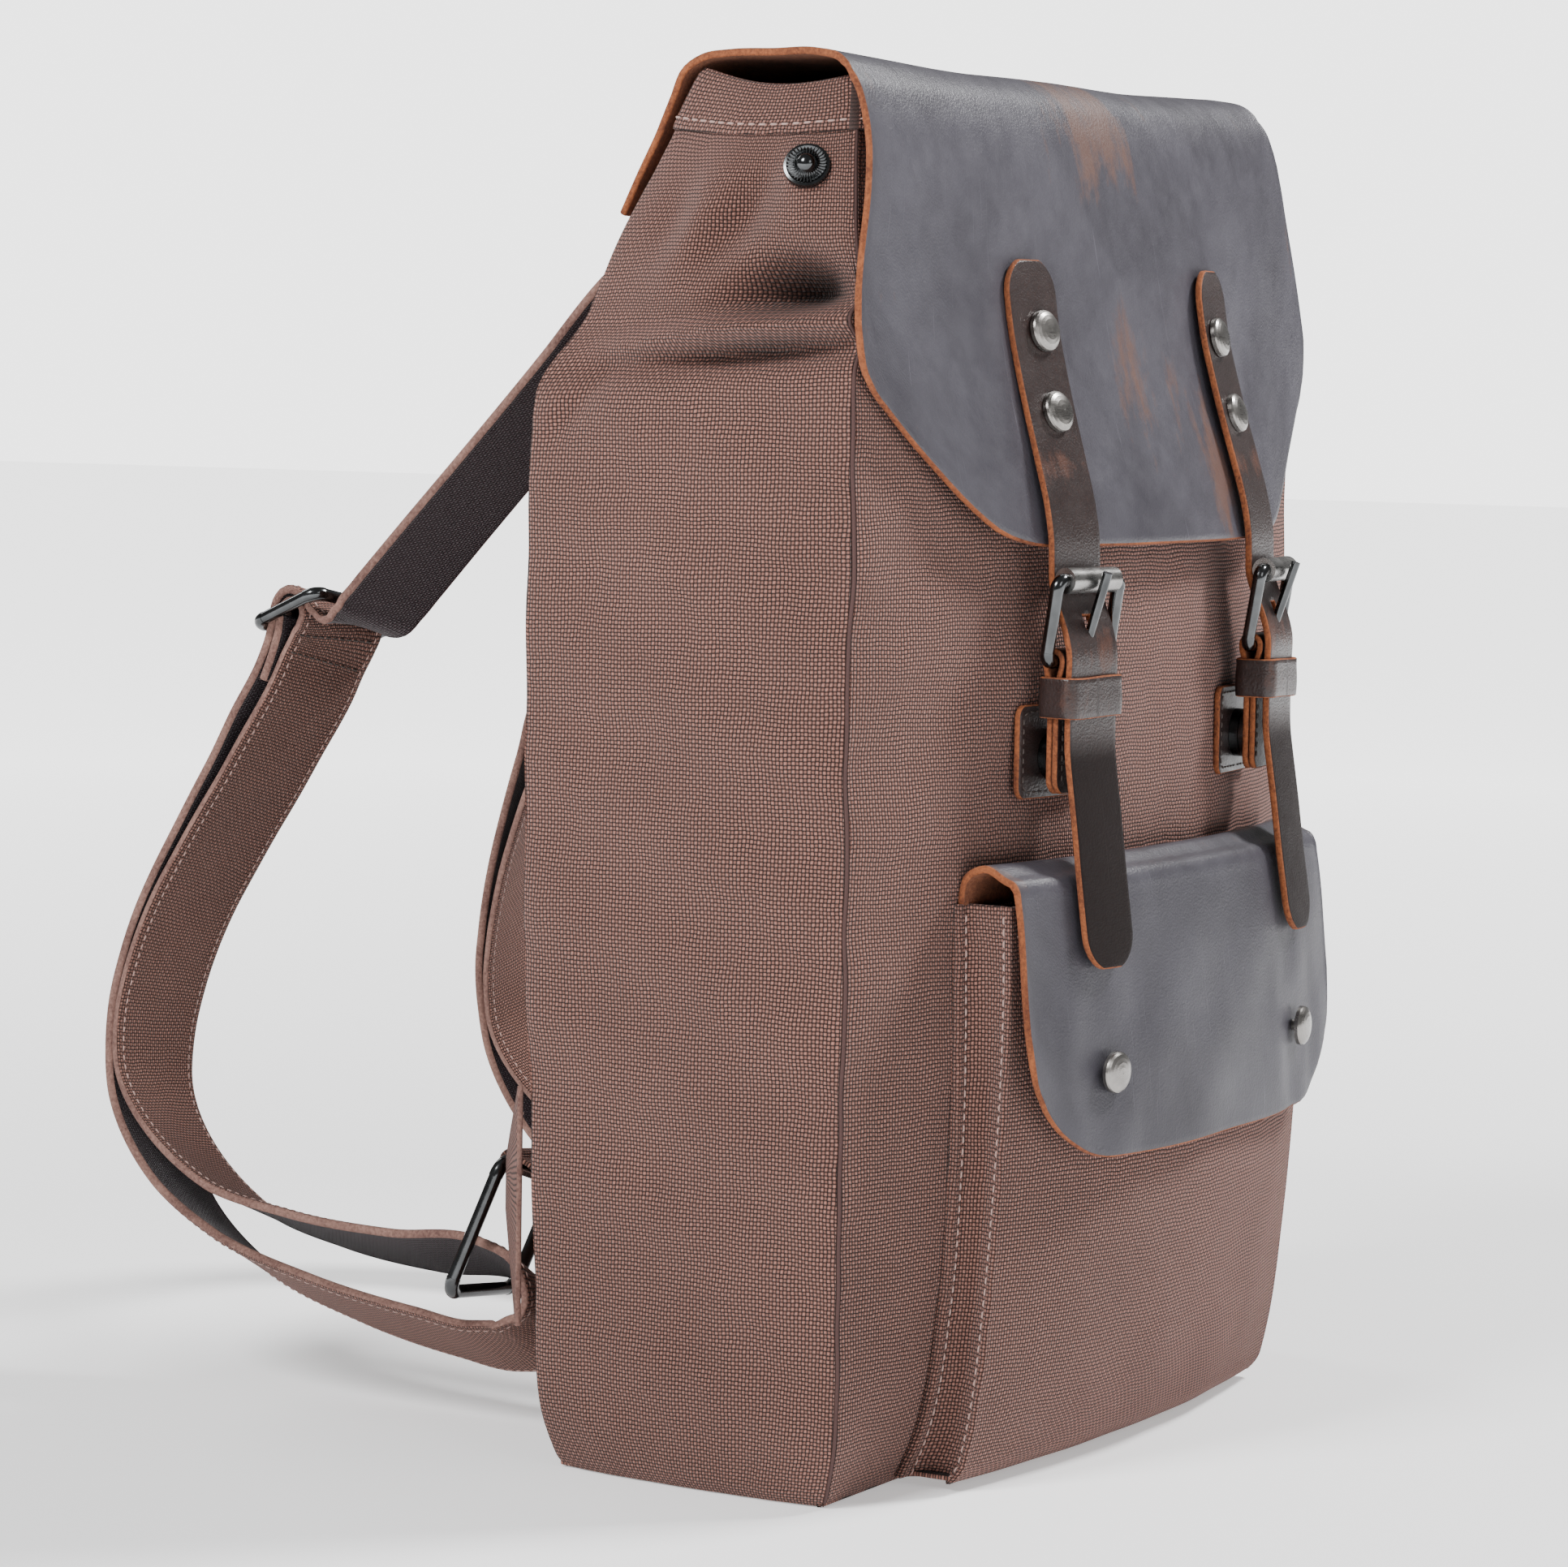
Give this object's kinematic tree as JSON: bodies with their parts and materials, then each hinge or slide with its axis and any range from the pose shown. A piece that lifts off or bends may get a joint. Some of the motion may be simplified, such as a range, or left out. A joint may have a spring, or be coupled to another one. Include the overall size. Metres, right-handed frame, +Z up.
{
  "type": "backpack",
  "caption": "Upright canvas backpack with a leather flap closed by buckled straps, a flapped front pocket and webbing shoulder straps.",
  "frame": {"origin": "centre of the underside of the base", "axes": "+Z up, -Y towards the front with the pocket, +X towards the wearer's right"},
  "size_m": [0.307, 0.3596, 0.4385],
  "materials": {
    "canvas": "heavy plain-weave cotton canvas, mauve brown",
    "webbing": "canvas-faced webbing with a dark ribbed back",
    "lining": "plain dark cotton lining",
    "board": "matt stiffener sheet",
    "flap_leather": "waxed pull-up leather, dark grey brown with rust streaks and raw orange edges",
    "strap_leather": "waxed dark brown leather with raw orange edges",
    "snap_metal": "satin gunmetal",
    "buckle_metal": "polished dark gunmetal"
  },
  "bodies": {
    "bag": {"base_panel": "canvas", "base_board": "board", "front_panel": "canvas", "back_panel": "canvas", "side_panel_left": "canvas", "side_panel_right": "canvas", "lining": "lining", "laptop_sleeve": "lining", "mouth_hem": "canvas", "side_snap_left": "snap_metal", "side_snap_right": "snap_metal", "flap_back_edge": "flap_leather", "closure_patch_left": "strap_leather", "closure_patch_right": "strap_leather", "magnet_socket_left": "buckle_metal", "magnet_socket_right": "buckle_metal", "front_pocket": "canvas", "pocket_floor": "canvas", "pocket_gusset_left": "canvas", "pocket_gusset_right": "canvas", "pocket_flap_root": "flap_leather", "pocket_stud_left": "snap_metal", "pocket_stud_right": "snap_metal", "web_root_left": "webbing", "web_root_right": "webbing", "ring_tab_left": "canvas", "ring_tab_right": "canvas"},
    "flap_top": {"flap_top": "flap_leather"},
    "flap_front": {"flap_front": "flap_leather", "flap_strap_left": "strap_leather", "strap_rivets_left": "snap_metal", "chape_left": "strap_leather", "magnet_stud_left": "buckle_metal", "flap_strap_right": "strap_leather", "strap_rivets_right": "snap_metal", "chape_right": "strap_leather", "magnet_stud_right": "buckle_metal"},
    "pocket_flap": {"pocket_flap": "flap_leather", "pocket_cap_left": "snap_metal", "pocket_cap_right": "snap_metal"},
    "grab_handle": {"grab_handle": "webbing"},
    "buckle_left": {"buckle_frame_left": "buckle_metal"},
    "roller_left": {"buckle_roller_left": "buckle_metal"},
    "prong_left": {"buckle_prong_left": "buckle_metal"},
    "keeper_left": {"keeper_left": "strap_leather"},
    "strap_tail_left": {"strap_tail_left": "strap_leather"},
    "shoulder_strap_left": {"shoulder_web_left": "webbing", "web_slider_left": "buckle_metal", "web_ring_left": "buckle_metal", "ring_loop_left": "webbing"},
    "buckle_right": {"buckle_frame_right": "buckle_metal"},
    "roller_right": {"buckle_roller_right": "buckle_metal"},
    "prong_right": {"buckle_prong_right": "buckle_metal"},
    "keeper_right": {"keeper_right": "strap_leather"},
    "strap_tail_right": {"strap_tail_right": "strap_leather"},
    "shoulder_strap_right": {"shoulder_web_right": "webbing", "web_slider_right": "buckle_metal", "web_ring_right": "buckle_metal", "ring_loop_right": "webbing"}
  },
  "joints": [
    {"name": "flap_lift", "type": "hinge", "parent": "bag", "child": "flap_top", "pos_m": [0, 0.0205, 0.4372], "axis": [-1, 0, 0], "range_deg": [0, 130]},
    {"name": "flap_unfold", "type": "hinge", "parent": "flap_top", "child": "flap_front", "pos_m": [0, -0.041, 0.4374], "axis": [-1, 0, 0], "range_deg": [0, 78]},
    {"name": "pocket_flap_lift", "type": "hinge", "parent": "bag", "child": "pocket_flap", "pos_m": [0, -0.084, 0.191], "axis": [-1, 0, 0], "range_deg": [0, 75]},
    {"name": "handle_lift", "type": "hinge", "parent": "bag", "child": "grab_handle", "pos_m": [0, 0.04945, 0.3866], "axis": [1, 0, 0], "range_deg": [0, 100]},
    {"name": "buckle_swing_left", "type": "hinge", "parent": "flap_front", "child": "buckle_left", "pos_m": [-0.066, -0.088, 0.257], "axis": [0.9903, -0.1392, 0], "range_deg": [0, 8]},
    {"name": "roller_spin_left", "type": "hinge", "parent": "buckle_left", "child": "roller_left", "pos_m": [-0.06656, -0.09196, 0.282], "axis": [-0.9903, 0.1392, 0], "continuous": true},
    {"name": "prong_lift_left", "type": "hinge", "parent": "buckle_left", "child": "prong_left", "pos_m": [-0.066, -0.088, 0.257], "axis": [0.9903, -0.1392, 0], "range_deg": [0, 10]},
    {"name": "keeper_slide_left", "type": "slide", "parent": "flap_front", "child": "keeper_left", "axis": [0, 0, -1], "range_m": [0, 0.004]},
    {"name": "tail_lift_left", "type": "hinge", "parent": "flap_front", "child": "strap_tail_left", "pos_m": [-0.06678, -0.09355, 0.23], "axis": [-0.9903, 0.1392, 0], "range_deg": [0, 60]},
    {"name": "strap_swing_left", "type": "hinge", "parent": "bag", "child": "shoulder_strap_left", "pos_m": [-0.1203, 0.069, 0.085], "axis": [0.2004, -0.0409, 0.9789], "range_deg": [-18, 18]},
    {"name": "buckle_swing_right", "type": "hinge", "parent": "flap_front", "child": "buckle_right", "pos_m": [0.066, -0.088, 0.257], "axis": [0.9903, 0.1392, 0], "range_deg": [0, 8]},
    {"name": "roller_spin_right", "type": "hinge", "parent": "buckle_right", "child": "roller_right", "pos_m": [0.06656, -0.09196, 0.282], "axis": [-0.9903, -0.1392, 0], "continuous": true},
    {"name": "prong_lift_right", "type": "hinge", "parent": "buckle_right", "child": "prong_right", "pos_m": [0.066, -0.088, 0.257], "axis": [0.9903, 0.1392, 0], "range_deg": [0, 10]},
    {"name": "keeper_slide_right", "type": "slide", "parent": "flap_front", "child": "keeper_right", "axis": [0, 0, -1], "range_m": [0, 0.004]},
    {"name": "tail_lift_right", "type": "hinge", "parent": "flap_front", "child": "strap_tail_right", "pos_m": [0.06678, -0.09355, 0.23], "axis": [-0.9903, -0.1392, 0], "range_deg": [0, 60]},
    {"name": "strap_swing_right", "type": "hinge", "parent": "bag", "child": "shoulder_strap_right", "pos_m": [0.1203, 0.069, 0.085], "axis": [0.2004, 0.0409, -0.9789], "range_deg": [-18, 18]}
  ],
  "couplings": [
    {"joint": "flap_unfold", "follows": "flap_lift", "ratio": 0.6},
    {"joint": "tail_lift_left", "follows": "pocket_flap_lift", "ratio": 0.8},
    {"joint": "tail_lift_right", "follows": "pocket_flap_lift", "ratio": 0.8}
  ]
}
